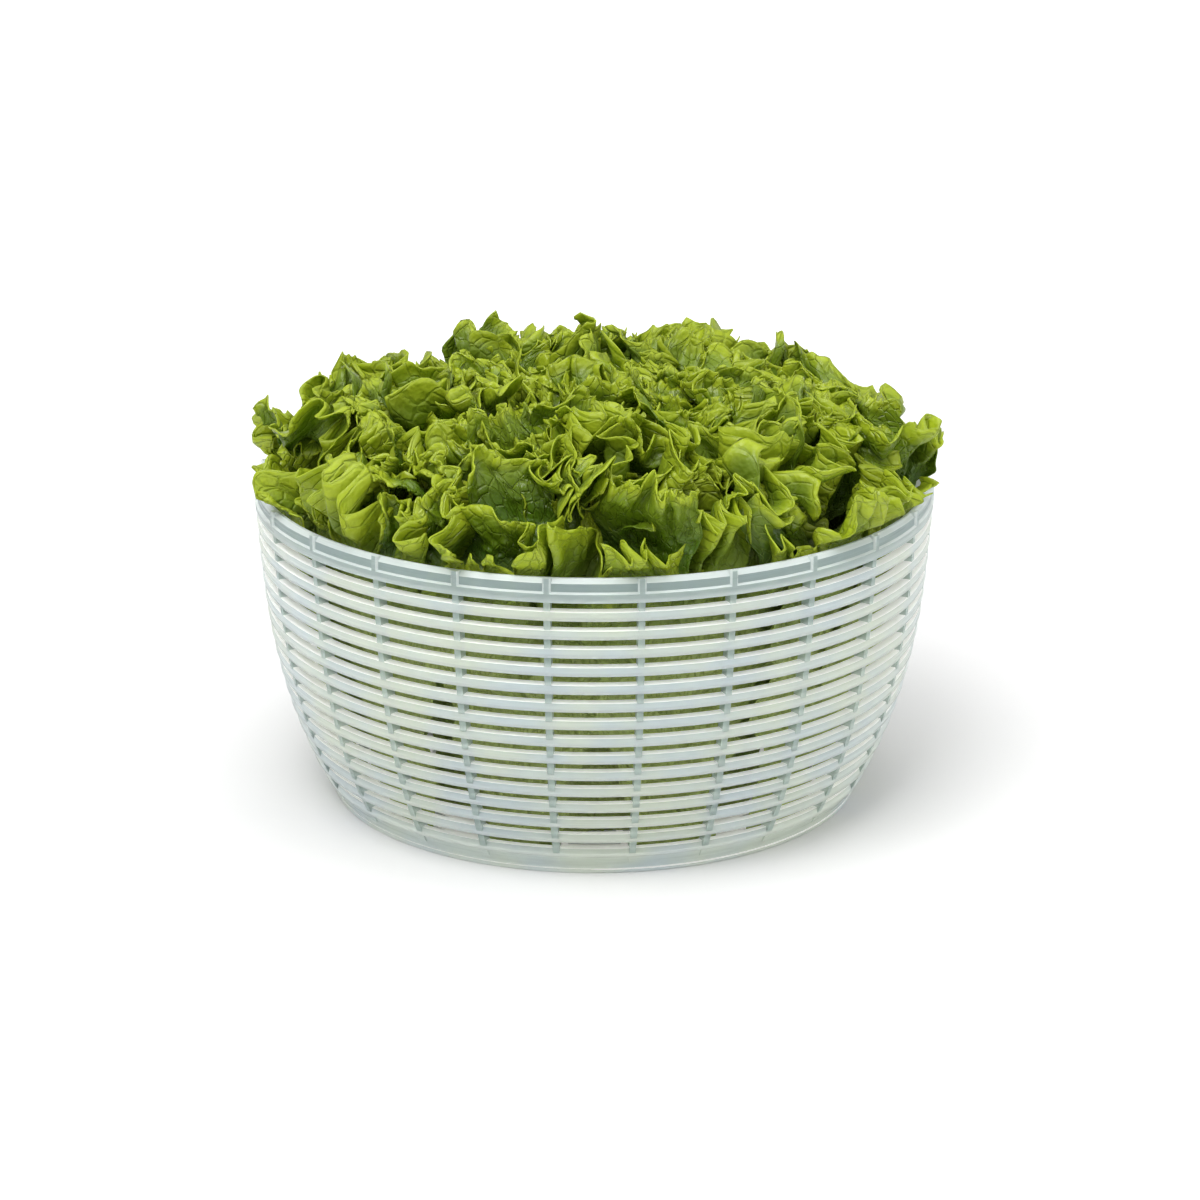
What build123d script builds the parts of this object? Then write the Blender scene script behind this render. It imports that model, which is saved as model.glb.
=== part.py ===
"""Basket of a salad spinner, heaped with leaf lettuce.

The basket is a round openwork colander: a rim band, fifteen slat rings, twenty-four upright ribs,
a base band with a foot, a slotted floor and a raised centre cone with a pivot socket under it.
Each region of the moulding is a node of its own, and the regions meet face to face.
The lettuce stands in it as nested layers of plain curved leaves.

Frame: origin at the centre of the foot, on the surface the basket stands on, +Z up. Millimetres.
The middle of a bay between two ribs faces -Y.
"""
import os
from math import degrees

from build123d import *

# Wall of the basket
rim_radius = 124.0
wall_taper = 5.5  # radius lost to the even taper from rim to foot
wall_bowl = 20.8  # radius lost as well to the bowl's rounding, most of it low down
wall_depth = 4.2  # radial depth of the slatted wall
bay_count = 24

# Slat rings, number 1 next to the rim
ring_count = 15
ring_pitch = 6.75
slat_height = 3.45
slat_ridge_height = 1.4  # height of the soft ridge above the slat's lower edge
slat_top_setback = 0.45
slat_bottom_setback = 0.25
slat_round = 0.4

# Upright ribs
rib_width = 2.3
rib_setback = 0.75  # outer edge of a rib inside the wall's outer curve
rib_spine = 0.6  # how far a rib stands in from the slats
rib_tip_height = 4.6  # lower tip of a rib, on the base band

# Rim band
rim_band_height = 8.55
rim_thickness = 3.3
window_height = 4.5
window_depth = 0.8
window_bevel = 0.6  # bevelled edge round each window
lip_height = 1.6  # height of the bevel along the top of each window
lip_depth = 1.3
lip_drop = 0.3  # top edge between pilasters, below the pilaster tops
pilaster_width = 3.0

# Base band and foot
base_band_height = 7.5
base_band_setback = 1.3  # top of the base band inside the wall's outer curve
foot_height = 1.8
foot_width = 4.2
foot_round = 0.5

# Floor grille, resting on the foot ring
floor_thickness = 2.5
hoop_width = 4.6
hoop_gap = 5.2
spoke_width = 2.3
floor_sectors = 8  # the floor is divided along the middles of every third spoke

# Centre cone and pivot socket
cone_base_radius = 36.0
cone_top_radius = 13.0
cone_height = 27.0
cone_wall = 2.2
socket_bore_radius = 5.0
socket_wall = 2.4
socket_length = 18.0
web_count = 6
web_thickness = 1.6

# Lettuce
leaf_thickness = 3.0
leaf_gap = 0.6  # between neighbouring leaves
leaf_clearance = 0.3  # between a leaf and the basket it rests on
heap_crown = 40.0  # height of the heap's middle above the rim
heap_shoulder = 22.0  # height of the heap's edge above the rim
layer_counts = (12, 9, 7, 5)  # leaves in each layer, from the wall inwards
layer_turn = 11.0  # each layer's seams are turned on from the last one's
heart_foot_radius = 10.0
heart_radius = 18.0

basket_height = base_band_height + ring_count * ring_pitch + rim_band_height
rim_band_bottom = basket_height - rim_band_height
floor_bottom = foot_height
floor_top = floor_bottom + floor_thickness
bay_angle = 360.0 / bay_count
cone_top = floor_top + cone_height


def wall_radius(height):
    """Outer radius of the wall at a height above the surface."""
    drop = (basket_height - height) / basket_height
    return rim_radius - wall_taper * drop - wall_bowl * drop**3


def inner_radius(height):
    """Radius of the wall's inner face."""
    return wall_radius(height) - wall_depth


def ring_bottom(number):
    """Height of a slat ring's lower edge."""
    return base_band_height + (ring_count - number) * ring_pitch


def arc_angle(length, radius):
    """Angle that a length along a circle takes, in degrees."""
    return degrees(length / radius)


foot_radius = wall_radius(0)
floor_radius = inner_radius(floor_top)

os.makedirs("parts", exist_ok=True)


def save(part, name):
    """Label a finished piece and write it."""
    part.label = name
    export_step(part, f"parts/{name}.step")


# Slat rings: near-upright outer face with a soft ridge, inner face along the wall's inner curve
slat_rings = []
for number in range(1, ring_count + 1):
    low = ring_bottom(number)
    high = low + slat_height
    face = wall_radius(low)
    with BuildPart() as slat_ring:
        with BuildSketch(Plane.XZ) as slat_section:
            with BuildLine():
                Polyline(
                    (inner_radius(low), low),
                    (face - slat_bottom_setback, low),
                    (face, low + slat_ridge_height),
                    (face - slat_top_setback, high),
                    (inner_radius(high), high),
                    close=True,
                )
            make_face()
            outer_corners = slat_section.vertices().filter_by(lambda corner: corner.X > inner_radius(high) + 1)
            fillet(outer_corners, slat_round)
        revolve(axis=Axis.Z)
    save(slat_ring.part, f"slat_ring_{number:02d}")
    slat_rings.append(slat_ring.part)

# Rib blade: follows the wall's curve from a tip on the base band up to the rim band
with BuildPart() as rib_blade:
    with BuildSketch(Plane.XZ):
        with BuildLine():
            rib_length = rim_band_bottom - rib_tip_height
            heights = [rib_tip_height + rib_length * step / 6 for step in range(7)]
            outer_curve = Spline([(wall_radius(height) - rib_setback, height) for height in heights])
            inner_curve = Spline([(inner_radius(height) - rib_spine, height) for height in heights])
            Line(outer_curve @ 0, inner_curve @ 0)
            Line(outer_curve @ 1, inner_curve @ 1)
        make_face()
    extrude(amount=rib_width / 2, both=True)
rib_tip = split(rib_blade.part, Plane.XY.offset(base_band_height), keep=Keep.BOTTOM)
rib_body = split(rib_blade.part, Plane.XY.offset(base_band_height), keep=Keep.TOP)

# Base band: from the foot up to the lowest slat ring, with the ribs' lower tips
with BuildPart() as base_band:
    with BuildSketch(Plane.XZ):
        with BuildLine():
            Polyline(
                (foot_radius, foot_height),
                (wall_radius(base_band_height) - base_band_setback, base_band_height),
                (inner_radius(base_band_height), base_band_height),
                (floor_radius, floor_top),
                (floor_radius, foot_height),
                close=True,
            )
        make_face()
    revolve(axis=Axis.Z)
    with PolarLocations(0, bay_count, start_angle=bay_angle / 2):
        add(rib_tip)
save(base_band.part, "base_band")

# Foot ring: the flat ring that the basket stands on, under the base band and the floor's edge
with BuildPart() as foot_ring:
    with BuildSketch(Plane.XZ) as foot_section:
        with BuildLine():
            Polyline(
                (foot_radius - foot_width, 0),
                (foot_radius, 0),
                (foot_radius, foot_height),
                (foot_radius - foot_width, foot_height),
                close=True,
            )
        make_face()
        fillet(foot_section.vertices().group_by(Axis.Z)[0], foot_round)
    revolve(axis=Axis.Z)
save(foot_ring.part, "foot_ring")

# Rim band: plain below, thinner above with a bevelled lip, and an upright pilaster at each rib
window_bottom = basket_height - lip_drop - window_height
lip_top = basket_height - lip_drop
window_floor = wall_radius(window_bottom) - window_depth
with BuildPart() as rim_band:
    with BuildSketch(Plane.XZ):
        with BuildLine():
            Polyline(
                (inner_radius(rim_band_bottom), rim_band_bottom),
                (wall_radius(rim_band_bottom), rim_band_bottom),
                (wall_radius(window_bottom), window_bottom - window_bevel),
                (window_floor, window_bottom),
                (window_floor, lip_top - lip_height),
                (window_floor - lip_depth, lip_top),
                (rim_radius - rim_thickness, lip_top),
                close=True,
            )
        make_face()
    revolve(axis=Axis.Z)
    pilaster_foot = window_bottom - window_bevel
    pilaster_face = wall_radius(window_bottom)
    pilaster_root = window_floor - lip_depth
    with BuildSketch(Plane.XY.offset(pilaster_foot)):
        with PolarLocations(0, bay_count, start_angle=bay_angle / 2):
            Polygon(
                (pilaster_root, pilaster_width / 2),
                (window_floor, pilaster_width / 2),
                (pilaster_face, pilaster_width / 2 - window_bevel),
                (pilaster_face, window_bevel - pilaster_width / 2),
                (window_floor, -pilaster_width / 2),
                (pilaster_root, -pilaster_width / 2),
                align=None,
            )
    extrude(amount=basket_height - pilaster_foot)
save(rim_band.part, "rim_band")

# Ribs: the blade above the base band, cut by the rings it crosses, then repeated
with BuildPart() as rib:
    add(rib_body)
    for slat_ring_part in slat_rings:
        add(slat_ring_part, mode=Mode.SUBTRACT)
with BuildPart() as wall_ribs:
    with PolarLocations(0, bay_count, start_angle=bay_angle / 2):
        add(rib.part)
save(wall_ribs.part, "wall_ribs")

# Floor grille: concentric hoops joined by one spoke to each rib, in equal sectors
with BuildPart() as floor_disc:
    with BuildSketch(Plane.XY.offset(floor_bottom)):
        hoop_pitch = hoop_width + hoop_gap
        gap_count = int((floor_radius - cone_base_radius - hoop_width) / hoop_pitch)
        for hoop in range(gap_count):
            hoop_radius = floor_radius - hoop * hoop_pitch
            Circle(hoop_radius)
            Circle(hoop_radius - hoop_width, mode=Mode.SUBTRACT)
        Circle(floor_radius - gap_count * hoop_pitch)
        spoke_middle = (cone_base_radius + floor_radius - hoop_width) / 2
        spoke_length = floor_radius - hoop_width - cone_base_radius + 1
        with PolarLocations(spoke_middle, bay_count, start_angle=bay_angle / 2):
            Rectangle(spoke_length, spoke_width)
        Circle(cone_base_radius, mode=Mode.SUBTRACT)
    extrude(amount=floor_thickness)
sector_angle = 360 / floor_sectors
with BuildPart() as floor_wedge:
    with BuildSketch(Plane.XZ):
        with Locations((0, floor_bottom)):
            Rectangle(floor_radius, floor_thickness, align=(Align.MIN, Align.MIN))
    revolve(axis=Axis.Z, revolution_arc=sector_angle)
with BuildPart() as floor_sector:
    add(floor_disc.part)
    add(floor_wedge.part, rotation=(0, 0, bay_angle / 2), mode=Mode.INTERSECT)
sectors = [floor_sector.part.rotate(Axis.Z, index * sector_angle) for index in range(floor_sectors)]
floor_grille = Compound(children=sectors)
save(floor_grille, "floor_grille")

# Centre cone: a hollow cone, open below and closed on top
with BuildPart() as centre_cone:
    with BuildSketch(Plane.XZ):
        with BuildLine():
            Polyline(
                (cone_base_radius, floor_bottom),
                (cone_base_radius, floor_top),
                (cone_top_radius, cone_top),
                (0, cone_top),
                (0, cone_top - cone_wall),
                (cone_top_radius - cone_wall / 2, cone_top - cone_wall),
                (cone_base_radius - cone_wall, floor_bottom),
                close=True,
            )
        make_face()
    revolve(axis=Axis.Z)
save(centre_cone.part, "centre_cone")

# Pivot socket: hangs from the cone's top and takes the bowl's pin from below
socket_radius = socket_bore_radius + socket_wall
socket_top = cone_top - cone_wall
with BuildPart() as pivot_socket:
    with BuildSketch(Plane.XY.offset(socket_top)):
        Circle(socket_radius)
        Circle(socket_bore_radius, mode=Mode.SUBTRACT)
    extrude(amount=-socket_length)
save(pivot_socket.part, "pivot_socket")

# Cone webs: upright webs between the socket and the cone
with BuildPart() as cone_webs:
    with PolarLocations(0, web_count):
        with Locations((0, 0, socket_top)):
            Box(
                2 * cone_base_radius,
                web_thickness,
                socket_length,
                align=(Align.MIN, Align.CENTER, Align.MAX),
            )
    add(centre_cone.part, mode=Mode.SUBTRACT)
    with BuildSketch(Plane.XZ) as inside_cone:
        with BuildLine():
            Polyline(
                (socket_radius, socket_top),
                (cone_top_radius - cone_wall / 2, socket_top),
                (cone_base_radius - cone_wall, floor_bottom),
                (socket_radius, floor_bottom),
                close=True,
            )
        make_face()
    revolve(axis=Axis.Z, mode=Mode.INTERSECT)
save(cone_webs.part, "cone_webs")


# Lettuce: nested layers shaped like the wall, from the wall in to the cone, each cut into leaves
leaf_foot = floor_top + leaf_clearance
outermost = inner_radius(leaf_foot) - rib_spine - leaf_clearance
innermost = cone_base_radius + leaf_clearance + leaf_thickness
for layer, count in enumerate(layer_counts):
    share = 1 - (1 - innermost / outermost) * layer / (len(layer_counts) - 1)
    leaf_tip = basket_height + heap_crown - (heap_crown - heap_shoulder) * share
    heights = [leaf_foot + (leaf_tip - leaf_foot) * step / 4 for step in range(5)]
    backs = [share * (inner_radius(height) - rib_spine - leaf_clearance) for height in heights]
    with BuildPart() as leaf:
        with BuildSketch(Plane.XZ):
            with BuildLine():
                back = Spline(list(zip(backs, heights)))
                front = Spline([(radius - leaf_thickness, height) for radius, height in zip(backs, heights)])
                Line(back @ 0, front @ 0)
                Line(back @ 1, front @ 1)
            make_face()
        revolve(axis=Axis.Z, revolution_arc=360 / count - arc_angle(leaf_gap, backs[0]))
    for index in range(count):
        turned = leaf.part.rotate(Axis.Z, index * 360 / count + layer * layer_turn)
        save(turned, f"leaf_{layer + 1}_{index + 1:02d}")

# Heart of the heap: a folded leaf that stands on the cone
heart_foot = cone_top + leaf_clearance
with BuildPart() as leaf_heart:
    with BuildSketch(Plane.XZ):
        with BuildLine():
            Polyline(
                (0, heart_foot),
                (heart_foot_radius, heart_foot),
                (heart_radius, basket_height),
                (heart_foot_radius, basket_height + heap_crown),
                (0, basket_height + heap_crown),
                close=True,
            )
        make_face()
    revolve(axis=Axis.Z)
save(leaf_heart.part, "leaf_heart")
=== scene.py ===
"""Looks of the salad spinner basket and its lettuce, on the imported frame. Metres."""
from math import atan2, cos, hypot, pi, radians, sin

import bpy
import numpy as np
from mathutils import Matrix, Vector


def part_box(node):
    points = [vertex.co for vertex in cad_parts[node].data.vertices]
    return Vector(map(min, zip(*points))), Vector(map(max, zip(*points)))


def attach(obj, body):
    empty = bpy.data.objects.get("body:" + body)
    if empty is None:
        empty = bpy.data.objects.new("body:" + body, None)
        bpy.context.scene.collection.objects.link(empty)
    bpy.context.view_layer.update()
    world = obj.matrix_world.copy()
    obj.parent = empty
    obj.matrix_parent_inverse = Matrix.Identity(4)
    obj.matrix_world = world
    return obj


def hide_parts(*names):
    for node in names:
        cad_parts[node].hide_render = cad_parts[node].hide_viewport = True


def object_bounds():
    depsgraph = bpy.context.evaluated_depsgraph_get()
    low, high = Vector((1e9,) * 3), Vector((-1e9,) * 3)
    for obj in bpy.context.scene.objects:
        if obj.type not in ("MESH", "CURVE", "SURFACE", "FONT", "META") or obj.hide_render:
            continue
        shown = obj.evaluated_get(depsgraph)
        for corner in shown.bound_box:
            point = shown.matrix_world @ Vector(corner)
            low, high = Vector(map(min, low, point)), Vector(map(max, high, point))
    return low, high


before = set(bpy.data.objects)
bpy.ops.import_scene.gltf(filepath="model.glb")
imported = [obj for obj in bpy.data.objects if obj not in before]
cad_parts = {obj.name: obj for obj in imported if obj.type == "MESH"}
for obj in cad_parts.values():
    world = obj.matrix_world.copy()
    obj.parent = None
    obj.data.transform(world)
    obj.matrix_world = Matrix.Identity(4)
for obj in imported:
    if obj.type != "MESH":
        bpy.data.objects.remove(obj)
cad_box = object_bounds()

LEAF_NODES = sorted(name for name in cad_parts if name.startswith("leaf"))
BASKET_NODES = sorted(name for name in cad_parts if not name.startswith("leaf"))

rim_low, rim_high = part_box("rim_band")
floor_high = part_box("floor_grille")[1]
cone_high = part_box("centre_cone")[1]
RIM_RADIUS = rim_high[0]
RIM_TOP = rim_high[2]
RIM_BOTTOM = rim_low[2]
WINDOW_EDGE = 0.0007  # a window's face lies at least this far inside the rim's outer radius
SLAT_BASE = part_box("slat_ring_15")[0][2]
SLAT_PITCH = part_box("slat_ring_14")[0][2] - SLAT_BASE
FLOOR_TOP = floor_high[2]
FLOOR_RADIUS = floor_high[0]
CONE_TOP = cone_high[2]
CONE_RADIUS = cone_high[0]
CONE_SLANT = 0.023  # how far the cone's side runs inwards
WALL_ROOM = 0.0062  # leaves keep this far inside the wall's outer face
OVERHANG = 0.006  # leaves reach this far past the rim, above it
OVERHANG_START = 0.001  # the overhang grows between these heights above the rim
OVERHANG_END = 0.006
FLOOR_ROOM = 0.001  # leaves keep this far inside the floor's edge
CLEARANCE = 0.0008  # leaves stay this far above the floor and the cone
EASE = 0.004  # a leaf turns along the wall over this distance
FOLD_WIDTH = 0.021  # one large fold of a leaf's margin
SWING_LIMIT = 2.3  # steepest slope of a fold, radians
SHORTEST_RUN = 0.33  # a margin reaches at least this share of its own length
CRUMPLES = ((0.034, 0.0017, 5), (0.014, 0.0007, 6))  # wavelength and depth of each set of waves
SHOULDER = 0.020  # the heap's height over the rim, at the wall
CROWN = cad_box[1][2] - RIM_TOP - 0.002  # the heap's height over the rim, in the middle
HEAP_CURVE = 2.4  # how late the heap falls off towards the wall
LEAF_SEED = 4100  # random draws of each leaf, plus its number
CRUMPLE_SEED = 77
LEAF_GRID = (200, 48)  # columns and rows of points of a main leaf
TORN_GRID = (130, 32)  # columns and rows of points of a torn piece
TORN_PIECES = 4  # torn pieces for each main leaf
HEART_REACH = 0.010  # a leaf nearer the middle than this is the heart
INNER_REACH = 0.060  # torn pieces of a leaf nearer than this spread widely
OUTER_REACH = 0.095  # torn pieces of a leaf farther than this face outwards
HEART_SPAN = 0.055  # width of the heart leaf
WIDEST_LEAF = 0.090  # width of the widest other leaf
TOP_SHARE = 98  # percentile of a sheet's heights that counts as its top
STUDIO_REACH = 12.0  # half the side of the studio floor
LEAF_SHEET = 0.00045  # thickness of a leaf


# Shader helpers

def new_material(name):
    """An empty node material and its output."""
    material = bpy.data.materials.new(name)
    material.use_nodes = True
    material.node_tree.nodes.clear()
    output = material.node_tree.nodes.new("ShaderNodeOutputMaterial")
    return material, output


def add_node(material, kind, **inputs):
    """A shader node with its inputs set; an input that is a socket is linked."""
    node = material.node_tree.nodes.new(kind)
    for name, value in inputs.items():
        socket = node.inputs[name.replace("_", " ")]
        if isinstance(value, bpy.types.NodeSocket):
            material.node_tree.links.new(value, socket)
        else:
            socket.default_value = value
    return node


def link(material, source, target):
    material.node_tree.links.new(source, target)


def mix_colour(material, factor, first, second, blend="MIX"):
    """Colour output of a mix of two colours or sockets."""
    node = material.node_tree.nodes.new("ShaderNodeMix")
    node.data_type = "RGBA"
    node.blend_type = blend
    for socket, value in ((node.inputs[0], factor), (node.inputs[6], first), (node.inputs[7], second)):
        if isinstance(value, bpy.types.NodeSocket):
            material.node_tree.links.new(value, socket)
        else:
            socket.default_value = value
    return node.outputs[2]


def ramp(material, source, *stops):
    """Colour ramp output through (position, value) stops, value a grey or a colour."""
    node = material.node_tree.nodes.new("ShaderNodeValToRGB")
    material.node_tree.links.new(source, node.inputs[0])
    elements = node.color_ramp.elements
    while len(elements) < len(stops):
        elements.new(0.5)
    for element, (position, value) in zip(elements, stops):
        element.position = position
        element.color = (value, value, value, 1) if isinstance(value, (int, float)) else (*value, 1)
    return node.outputs[0]


def math_node(material, operation, first, second=0.0):
    node = material.node_tree.nodes.new("ShaderNodeMath")
    node.operation = operation
    for socket, value in zip(node.inputs, (first, second)):
        if isinstance(value, bpy.types.NodeSocket):
            material.node_tree.links.new(value, socket)
        else:
            socket.default_value = value
    return node.outputs[0]


# Materials

def frosted_plastic(name, dark, pale):
    """Milky polypropylene between two tints, with painted light: painted shade low on each slat, a painted
    highlight and a painted glow on upward faces, and painted shade on the plain outward rim faces, deeper
    still in their windows.
    """
    material, output = new_material(name)
    place = add_node(material, "ShaderNodeTexCoord")
    stretch = add_node(material, "ShaderNodeMapping", Vector=place.outputs["Object"], Scale=(30, 30, 900))
    lines = add_node(material, "ShaderNodeTexNoise", Vector=stretch.outputs[0], Scale=1.0, Detail=3.0)
    clouds = add_node(material, "ShaderNodeTexNoise", Vector=place.outputs["Object"], Scale=34.0, Detail=2.0)
    split = add_node(material, "ShaderNodeSeparateXYZ", Vector=place.outputs["Object"])
    height = split.outputs["Z"]
    surface = add_node(material, "ShaderNodeNewGeometry")
    normal = add_node(material, "ShaderNodeSeparateXYZ", Vector=surface.outputs["Normal"])

    cloudy = ramp(material, clouds.outputs[0], (0.38, 0.0), (0.62, 1.0))
    colour = mix_colour(material, cloudy, dark, pale)

    # Painted shade: each slat is darker towards its lower edge and full bright towards its top, by height
    # within the slat.
    from_base = math_node(material, "DIVIDE", math_node(material, "SUBTRACT", height, SLAT_BASE), SLAT_PITCH)
    up_slat = math_node(material, "FRACT", from_base)
    shade = ramp(material, up_slat, (0.0, 0.70), (0.16, 0.86), (0.24, 1.0), (0.42, 1.0))
    on_rim = math_node(material, "GREATER_THAN", height, RIM_BOTTOM)
    off_rim = math_node(material, "SUBTRACT", 1.0, on_rim)
    slatted = math_node(material, "MULTIPLY", off_rim, math_node(material, "GREATER_THAN", height, SLAT_BASE))
    colour = mix_colour(material, slatted, colour, mix_colour(material, 1.0, colour, shade, "MULTIPLY"))

    around = add_node(material, "ShaderNodeCombineXYZ", X=split.outputs["X"], Y=split.outputs["Y"])
    radius = add_node(material, "ShaderNodeVectorMath", Vector=around.outputs[0])
    radius.operation = "LENGTH"
    outward = math_node(
        material, "ADD",
        math_node(material, "MULTIPLY", normal.outputs["X"], split.outputs["X"]),
        math_node(material, "MULTIPLY", normal.outputs["Y"], split.outputs["Y"]),
    )
    outward = math_node(material, "DIVIDE", outward, radius.outputs["Value"])
    # Painted shade on the rim: its outward faces are painted greyer and the recessed windows in them greyer
    # still, while its lip, bevels and other faces keep the pale rim tint.
    plate = math_node(material, "MULTIPLY", on_rim, math_node(material, "GREATER_THAN", outward, 0.94))
    inset = math_node(material, "LESS_THAN", radius.outputs["Value"], RIM_RADIUS - WINDOW_EDGE)
    window = math_node(material, "MULTIPLY", plate, inset)
    colour = mix_colour(material, on_rim, colour, (0.74, 0.80, 0.79, 1))
    colour = mix_colour(material, plate, colour, (0.40, 0.48, 0.47, 1))
    colour = mix_colour(material, window, colour, (0.31, 0.39, 0.39, 1))

    # Painted highlight: faces off the rim that look upwards are painted near white and given a painted glow
    # through the emission.
    upward = ramp(material, normal.outputs["Z"], (0.30, 0.0), (0.75, 1.0))
    lit = math_node(material, "MULTIPLY", upward, off_rim)
    colour = mix_colour(material, lit, colour, (0.97, 0.97, 0.93, 1))
    painted_glow = math_node(material, "MULTIPLY", lit, 0.40)

    rough = ramp(material, lines.outputs[0], (0.3, 0.22), (0.7, 0.36))
    bump = add_node(material, "ShaderNodeBump", Strength=0.12, Distance=0.0004, Height=lines.outputs[0])
    shell = add_node(
        material,
        "ShaderNodeBsdfPrincipled",
        Base_Color=colour,
        Roughness=rough,
        IOR=1.49,
        Subsurface_Weight=0.8,
        Subsurface_Radius=(1.0, 1.0, 1.0),
        Subsurface_Scale=0.0009,
        # Emission of the painted glow on upward faces.
        Emission_Color=(1, 0.98, 0.94, 1),
        Emission_Strength=painted_glow,
        Normal=bump.outputs[0],
    )
    blurred = add_node(
        material, "ShaderNodeBsdfRefraction", Color=(0.97, 0.99, 0.98, 1), Roughness=0.5, IOR=1.10
    )
    body = add_node(material, "ShaderNodeMixShader", Fac=0.40)
    link(material, shell.outputs[0], body.inputs[1])
    link(material, blurred.outputs[0], body.inputs[2])
    link(material, body.outputs[0], output.inputs["Surface"])
    return material


def lettuce():
    """Leaf lettuce: green blade, bright thin margin, paler low in the heap (partly pale stems, partly painted
    light on leaves deep in the basket), raised veins and a waxy, damp surface.
    """
    material, output = new_material("lettuce")
    along = add_node(material, "ShaderNodeAttribute")
    along.attribute_name = "margin"
    tint = add_node(material, "ShaderNodeAttribute")
    tint.attribute_name = "tint"
    uv = add_node(material, "ShaderNodeUVMap")
    place = add_node(material, "ShaderNodeTexCoord")
    patches = add_node(material, "ShaderNodeTexNoise", Vector=place.outputs["Object"], Scale=38.0, Detail=3.0)
    cells = add_node(material, "ShaderNodeTexVoronoi", Vector=uv.outputs[0], Scale=260.0)
    cells.feature = "DISTANCE_TO_EDGE"
    veins = ramp(material, cells.outputs["Distance"], (0.0, 1.0), (0.10, 0.0))
    fine = add_node(material, "ShaderNodeTexNoise", Vector=uv.outputs[0], Scale=500.0, Detail=4.0)

    blade = mix_colour(
        material, ramp(material, patches.outputs[0], (0.35, 0.0), (0.65, 1.0)),
        (0.022, 0.075, 0.004, 1), (0.078, 0.170, 0.008, 1),
    )
    blade = mix_colour(material, tint.outputs["Fac"], blade, (0.150, 0.255, 0.014, 1))
    edge = ramp(material, along.outputs["Fac"], (0.55, 0.0), (0.90, 0.30), (0.965, 1.0))
    leafy = mix_colour(material, edge, blade, (0.440, 0.540, 0.026, 1))
    split = add_node(material, "ShaderNodeSeparateXYZ", Vector=place.outputs["Object"])
    # Low in the heap the leaves turn pale yellow-green by height: partly paler stems, partly painted light
    # that brightens leaves deep inside the basket.
    low = ramp(material, split.outputs["Z"], (0.075, 1.0), (0.118, 0.0))
    leafy = mix_colour(material, low, leafy, (0.580, 0.680, 0.220, 1))
    pale_veins = math_node(material, "MULTIPLY", veins, 0.25)
    leafy = mix_colour(material, pale_veins, leafy, (0.330, 0.460, 0.050, 1))
    wet = ramp(material, patches.outputs[0], (0.46, 0.48), (0.58, 0.17))

    height = math_node(
        material, "ADD",
        math_node(material, "MULTIPLY", veins, -0.5),
        math_node(material, "MULTIPLY", fine.outputs[0], 0.35),
    )
    blisters = add_node(
        material, "ShaderNodeTexNoise", Vector=place.outputs["Object"], Scale=210.0, Detail=2.0
    )
    height = math_node(material, "ADD", height, math_node(material, "MULTIPLY", blisters.outputs[0], 1.6))
    bump = add_node(material, "ShaderNodeBump", Strength=0.80, Distance=0.0012, Height=height)
    skin = add_node(
        material,
        "ShaderNodeBsdfPrincipled",
        Base_Color=leafy,
        Roughness=wet,
        IOR=1.40,
        Coat_Weight=0.22,
        Coat_Roughness=0.10,
        Normal=bump.outputs[0],
    )
    light_through = mix_colour(material, 0.5, leafy, (0.330, 0.480, 0.030, 1))
    through = add_node(material, "ShaderNodeBsdfTranslucent", Color=light_through, Normal=bump.outputs[0])
    body = add_node(material, "ShaderNodeMixShader", Fac=0.36)
    link(material, skin.outputs[0], body.inputs[1])
    link(material, through.outputs[0], body.inputs[2])
    link(material, body.outputs[0], output.inputs["Surface"])
    return material


def pale_floor():
    """White floor whose painted glow makes it a little brighter away from the object, as a lit sweep does."""
    material, output = new_material("pale_floor")
    place = add_node(material, "ShaderNodeTexCoord")
    distance = add_node(material, "ShaderNodeVectorMath", Vector=place.outputs["Object"])
    distance.operation = "LENGTH"
    far = ramp(material, distance.outputs["Value"], (0.25, 0.0), (1.0, 0.62))
    skin = add_node(
        material, "ShaderNodeBsdfPrincipled", Base_Color=(0.76, 0.76, 0.76, 1), Roughness=0.7,
        Emission_Color=(1, 1, 1, 1), Emission_Strength=far,
    )
    link(material, skin.outputs[0], output.inputs["Surface"])
    return material


# Leaves

def waves(rng, positions, cycles, depth=1.0):
    """Smooth random curve along a leaf: a few sines of about that many cycles."""
    total = np.zeros_like(positions)
    for share in (0.6, 1.0, 1.7):
        phase = rng.uniform(0, 2 * pi)
        total = total + np.sin(2 * pi * cycles * share * positions + phase) / (1 + share)
    return depth * total


def smooth_step(values, low, high):
    share = np.clip((values - low) / (high - low), 0, 1)
    return share * share * (3 - 2 * share)


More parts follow.
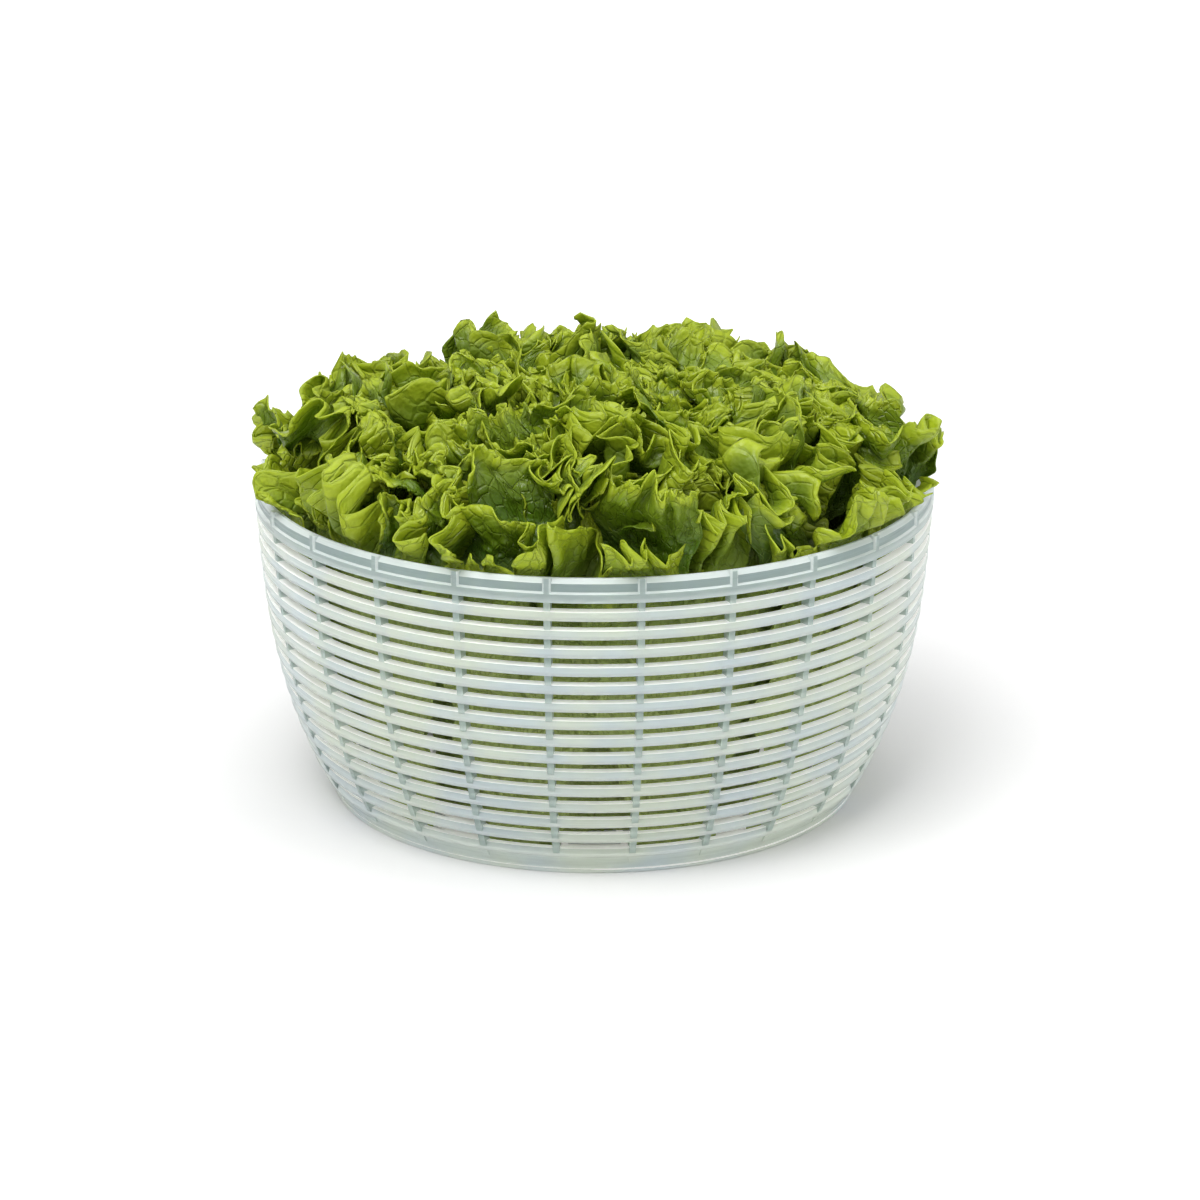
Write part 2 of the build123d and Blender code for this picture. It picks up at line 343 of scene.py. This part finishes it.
def ruffled_sheet(rng, width, height, columns, rows, frill, curl, lean, foot_share):
    """Points of a leaf that stands on its foot, (rows, columns, 3): x across, y out, z up.

    Each row is a meander whose swing grows towards the margin, so that the margin is longer than the
    leaf is wide and folds over itself, as a lettuce leaf's does.
    """
    across = np.linspace(0, 1, columns)[None, :]
    up = np.linspace(0, 1, rows)[:, None] ** 0.8
    folds = max(2.0, width / FOLD_WIDTH) * rng.uniform(0.85, 1.15)
    large = np.sin(2 * pi * folds * across + waves(rng, across, 1.2, 1.8))
    middle = np.sin(2 * pi * folds * 2.3 * across + waves(rng, across, 3.0, 2.2))
    small = np.sin(2 * pi * folds * 6.1 * across + waves(rng, across, 8.0, 2.2))
    swell = 1 + 0.45 * waves(rng, across, 1.6)
    crimp = 1 + 0.60 * waves(rng, across, 2.2)
    swing = (
        1.30 * frill * swell * smooth_step(up, 0.15, 1.0) ** 1.6 * large
        + 1.15 * frill * crimp * smooth_step(up, 0.45, 1.0) ** 1.5 * middle
        + 0.60 * frill * crimp * smooth_step(up, 0.72, 1.0) ** 1.4 * small
    )
    swing = SWING_LIMIT * np.tanh(swing / SWING_LIMIT)
    run = np.cumsum(np.cos(swing), axis=1)
    rise = np.cumsum(np.sin(swing), axis=1)
    length = np.maximum(run[:, -1:] - run[:, :1], SHORTEST_RUN * columns)
    run = (run - run[:, :1]) / length
    rise = rise / length
    rise = rise - rise.mean(axis=1, keepdims=True)
    rise = rise - (rise[:, -1:] - rise[:, :1]) * (run - 0.5)

    girth = width * (foot_share + (1 - foot_share) * smooth_step(up, 0.0, 0.75))
    girth = girth * (1 + 0.06 * np.sin(5 * up + rng.uniform(0, 6)))
    side = girth * (run - 0.5)
    blister_across = np.sin(side / 0.0031 + 3 * waves(rng, up, 3))
    blister_up = np.sin(height * up / 0.0036 + 3 * waves(rng, across, 3))
    blister = blister_across * blister_up
    depth = girth * rise * (1 + 0.25 * waves(rng, up, 2.0))
    out = depth + 0.0010 * blister + 0.25 * side**2 / width * rng.uniform(-1.0, 1.5)

    bend = lean + curl * up**1.6 * (1 + 0.45 * waves(rng, across, 1.0))
    bend = bend + 0.25 * frill * up**4 * middle
    lobes = 1 - 0.22 * (2 * run - 1) ** 2 * up + 0.10 * up * waves(rng, across, 1.7)
    notch = 1 - np.abs(np.sin(pi * folds * 4.3 * across + waves(rng, across, 5.0, 1.5)))
    tooth = 0.0018 * smooth_step(up, 0.86, 1.0) * notch**1.3 * (1 + 0.6 * waves(rng, across, 6.0))
    step = np.diff(up, axis=0, prepend=0.0)
    along_out = np.cumsum(step * np.sin(bend) * height * lobes, axis=0) + tooth * np.sin(bend)
    along_up = np.cumsum(step * np.cos(bend) * height * lobes, axis=0) + tooth * np.cos(bend)
    points = np.stack(
        [side, along_out + out * np.cos(bend), along_up - out * np.sin(bend)],
        axis=-1,
    )
    return points, np.broadcast_to(up, run.shape), across


def crumple(points):
    """Bend space itself a little, by soft waves in random directions, so that no two folds match."""
    rng = np.random.default_rng(CRUMPLE_SEED)
    shift = np.zeros_like(points)
    for wavelength, depth, count in CRUMPLES:
        for _ in range(count):
            along = rng.normal(size=3)
            toward = rng.normal(size=3)
            along *= 2 * pi / wavelength / np.linalg.norm(along)
            toward *= depth / np.linalg.norm(toward)
            shift += np.sin(points @ along + rng.uniform(0, 2 * pi))[..., None] * toward
    return points + shift


def wall_table():
    """Heights and the radii that leaves keep within, from the basket's rings, rim and floor."""
    corners = [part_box(name)[1] for name in BASKET_NODES if name.startswith("slat_ring")]
    pairs = [(corner[2], corner[0] - WALL_ROOM) for corner in corners]
    pairs.append((FLOOR_TOP, FLOOR_RADIUS - FLOOR_ROOM))
    pairs.append((RIM_TOP, RIM_RADIUS - WALL_ROOM))
    pairs.append((RIM_TOP + OVERHANG_START, RIM_RADIUS - WALL_ROOM))
    pairs.append((RIM_TOP + OVERHANG_END, RIM_RADIUS + OVERHANG))
    pairs.sort()
    heights, radii = zip(*pairs)
    return np.array(heights), np.array(radii)


def keep_inside(points, table):
    """Ease leaf points in from the basket's wall and up from its floor and cone."""
    radius = np.hypot(points[..., 0], points[..., 1])
    height = np.maximum(points[..., 2], FLOOR_TOP + CLEARANCE)
    limit = np.interp(height, *table)
    excess = np.clip(radius - (limit - EASE), 0, None)
    held = np.where(excess > 0, limit - EASE * np.exp(-excess / EASE), radius)
    scale = held / np.maximum(radius, 1e-6)
    cone = FLOOR_TOP + (CONE_TOP - FLOOR_TOP) * np.clip((CONE_RADIUS - held) / CONE_SLANT, 0, 1)
    height = np.where(held < CONE_RADIUS, np.maximum(height, cone + CLEARANCE), height)
    return np.stack([points[..., 0] * scale, points[..., 1] * scale, height], axis=-1)


def grid_faces(rows, columns, offset):
    """Quads of a grid of points."""
    corner = np.arange((rows - 1) * columns).reshape(rows - 1, columns)[:, :-1].ravel() + offset
    return np.stack([corner, corner + 1, corner + columns + 1, corner + columns], axis=1)


def leaf_object(name, sheets):
    """One mesh of several placed sheets, with a UV in metres and margin and tint attributes."""
    points, faces, margins, tints, uvs = [], [], [], [], []
    count = 0
    for grid, margin, across, tint, width, height in sheets:
        rows, columns = margin.shape
        faces.append(grid_faces(rows, columns, count))
        points.append(grid.reshape(-1, 3))
        margins.append(margin.ravel())
        tints.append(np.full(margin.size, tint))
        uvs.append(np.stack([np.broadcast_to(across * width * 2, margin.shape).ravel() + count * 0.001,
                             margin.ravel() * height], axis=1))
        count += margin.size
    points = np.concatenate(points)
    faces = np.concatenate(faces)
    mesh = bpy.data.meshes.new(name)
    mesh.vertices.add(len(points))
    mesh.vertices.foreach_set("co", points.astype(np.float32).ravel())
    mesh.loops.add(faces.size)
    mesh.loops.foreach_set("vertex_index", faces.ravel().astype(np.int32))
    mesh.polygons.add(len(faces))
    mesh.polygons.foreach_set("loop_start", np.arange(0, faces.size, 4, dtype=np.int32))
    mesh.polygons.foreach_set("loop_total", np.full(len(faces), 4, dtype=np.int32))
    mesh.polygons.foreach_set("use_smooth", np.ones(len(faces), dtype=bool))
    mesh.update(calc_edges=True)
    for key, values in (("margin", margins), ("tint", tints)):
        layer = mesh.attributes.new(key, "FLOAT", "POINT")
        layer.data.foreach_set("value", np.concatenate(values).astype(np.float32))
    layer = mesh.uv_layers.new(name="leaf")
    layer.data.foreach_set("uv", np.concatenate(uvs)[faces.ravel()].astype(np.float32).ravel())
    mesh.validate()
    piece = bpy.data.objects.new(name, mesh)
    bpy.context.scene.collection.objects.link(piece)
    shell = piece.modifiers.new("thickness", "SOLIDIFY")
    shell.thickness = LEAF_SHEET
    shell.offset = 0
    return piece


def placed(points, azimuth, radius, foot, yaw=0.0, roll=0.0):
    """Turn a sheet about its own foot, then stand it at a radius and azimuth."""
    x, y, z = points[..., 0], points[..., 1], points[..., 2]
    x, z = x * cos(roll) + z * sin(roll), z * cos(roll) - x * sin(roll)
    x, y = x * cos(yaw) - y * sin(yaw), x * sin(yaw) + y * cos(yaw)
    y = y + radius
    turn = azimuth - pi / 2
    return np.stack([x * cos(turn) - y * sin(turn), x * sin(turn) + y * cos(turn), z + foot], axis=-1)


def heap_top(radius):
    """Height of the heap's surface at a radius."""
    return RIM_TOP + CROWN - (CROWN - SHOULDER) * (radius / RIM_RADIUS) ** HEAP_CURVE


def build_leaf(node, number, table):
    """A main leaf on the CAD leaf's place, and torn pieces of leaf about its top."""
    rng = np.random.default_rng(LEAF_SEED + number)
    low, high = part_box(node)
    centre_x, centre_y = (low[0] + high[0]) / 2, (low[1] + high[1]) / 2
    azimuth = atan2(centre_y, centre_x)
    reach = hypot(centre_x, centre_y)
    heart = reach < HEART_REACH
    outer = reach > OUTER_REACH
    tall = high[2] - low[2]
    span = HEART_SPAN if heart else min(WIDEST_LEAF, 1.2 * max(high[0] - low[0], high[1] - low[1]))
    sheets = []
    tint = rng.uniform(0, 0.7)
    grid, margin, across = ruffled_sheet(
        rng, span, tall, *LEAF_GRID, frill=rng.uniform(0.8, 1.1),
        curl=rng.uniform(0.0, 0.5), lean=rng.uniform(0.08, 0.16), foot_share=0.42,
    )
    grid = placed(
        grid, azimuth, 0.0 if heart else reach * 0.86, low[2],
        yaw=rng.uniform(-0.25, 0.25), roll=rng.uniform(-0.08, 0.08),
    )
    top = heap_top(reach) - rng.uniform(0.004, 0.022)
    sheet_top = np.percentile(grid[..., 2], TOP_SHARE)
    grid[..., 2] = low[2] + (grid[..., 2] - low[2]) * (top - low[2]) / (sheet_top - low[2])
    sheets.append((keep_inside(crumple(grid), table), margin, across, tint, span, tall))
    spread = 0.7 if reach < INNER_REACH else 0.26
    for _ in range(TORN_PIECES):
        broad = rng.random() < 0.3
        wide = rng.uniform(0.040, 0.078)
        length = rng.uniform(0.030, 0.058)
        around = azimuth + rng.uniform(-spread, spread)
        out = max(0.0, reach * rng.uniform(0.76, 1.04) - 0.003)
        facing = rng.uniform(-1.0, 1.0) if outer else rng.uniform(-pi, pi)
        grid, margin, across = ruffled_sheet(
            rng, wide, length, *TORN_GRID,
            frill=rng.uniform(0.45, 0.7) if broad else rng.uniform(0.9, 1.2),
            curl=rng.uniform(0.1, 1.3), lean=rng.uniform(-0.4, 0.2), foot_share=0.6,
        )
        grid = placed(grid, around, out, 0.0, yaw=facing, roll=rng.uniform(-0.5, 0.5))
        grid[..., 2] += heap_top(out) - rng.uniform(-0.001, 0.010) - np.percentile(grid[..., 2], TOP_SHARE)
        sheets.append((keep_inside(crumple(grid), table), margin, across, rng.uniform(0, 1.0), wide, length))
    piece = leaf_object(f"lettuce_{node}", sheets)
    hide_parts(node)
    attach(piece, "salad")
    return piece


# Build

plastic = frosted_plastic("frosted_plastic", (0.59, 0.67, 0.69, 1), (0.67, 0.73, 0.64, 1))
# A darker copy of the same plastic for the wall ribs: painted shade for ribs seen in the gaps between slats.
shaded_rib_plastic = frosted_plastic("frosted_plastic_ribs_shaded", (0.38, 0.47, 0.45, 1), (0.45, 0.54, 0.49, 1))
for name in BASKET_NODES:
    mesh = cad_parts[name].data
    mesh.materials.clear()
    mesh.materials.append(shaded_rib_plastic if name == "wall_ribs" else plastic)

green = lettuce()
table = wall_table()
for number, node in enumerate(LEAF_NODES):
    build_leaf(node, number, table).data.materials.append(green)


# Floor, light and camera

def add_floor():
    mesh = bpy.data.meshes.new("studio_floor")
    turns = ((-1, -1), (1, -1), (1, 1), (-1, 1))
    mesh.from_pydata([(x * STUDIO_REACH, y * STUDIO_REACH, 0) for x, y in turns], [], [(0, 1, 2, 3)])
    floor = bpy.data.objects.new("studio_floor", mesh)
    bpy.context.scene.collection.objects.link(floor)
    mesh.materials.append(pale_floor())


def add_light(name, place, target, size, power):
    """A soft square area light that faces a target."""
    data = bpy.data.lights.new(name, "AREA")
    data.shape = "SQUARE"
    data.size = size
    data.energy = power
    lamp = bpy.data.objects.new(name, data)
    bpy.context.scene.collection.objects.link(lamp)
    lamp.location = place
    direction = np.array(target) - np.array(place)
    flat = hypot(direction[0], direction[1])
    lamp.rotation_euler = (atan2(flat, -direction[2]), 0, atan2(direction[1], direction[0]) - pi / 2)


def add_camera():
    """In front of the basket, about 19 degrees above the horizon."""
    distance, elevation, aim_height, lens = 1.4024, radians(19.08), 0.060, 113.7
    data = bpy.data.cameras.new("camera")
    data.lens = lens
    data.sensor_width = 36.0
    data.shift_x = 0.0047
    data.shift_y = 0.0173
    camera = bpy.data.objects.new("camera", data)
    bpy.context.scene.collection.objects.link(camera)
    camera.location = (0, -distance * cos(elevation), aim_height + distance * sin(elevation))
    camera.rotation_euler = (pi / 2 - elevation, 0, 0)
    bpy.context.scene.camera = camera


def add_world():
    world = bpy.data.worlds.new("studio")
    world.use_nodes = True
    world.node_tree.nodes["Background"].inputs[0].default_value = (1, 1, 1, 1)
    world.node_tree.nodes["Background"].inputs[1].default_value = 0.58
    bpy.context.scene.world = world


add_floor()
add_world()
middle = (0, 0, 0.07)
add_light("key", (-0.50, -0.75, 1.60), middle, 1.2, 29)
add_light("top", (0.2, 0.3, 1.8), middle, 1.3, 12)
add_light("fill", (1.4, -0.6, 0.9), middle, 1.2, 9)
add_camera()
bpy.context.scene.view_settings.view_transform = "Standard"
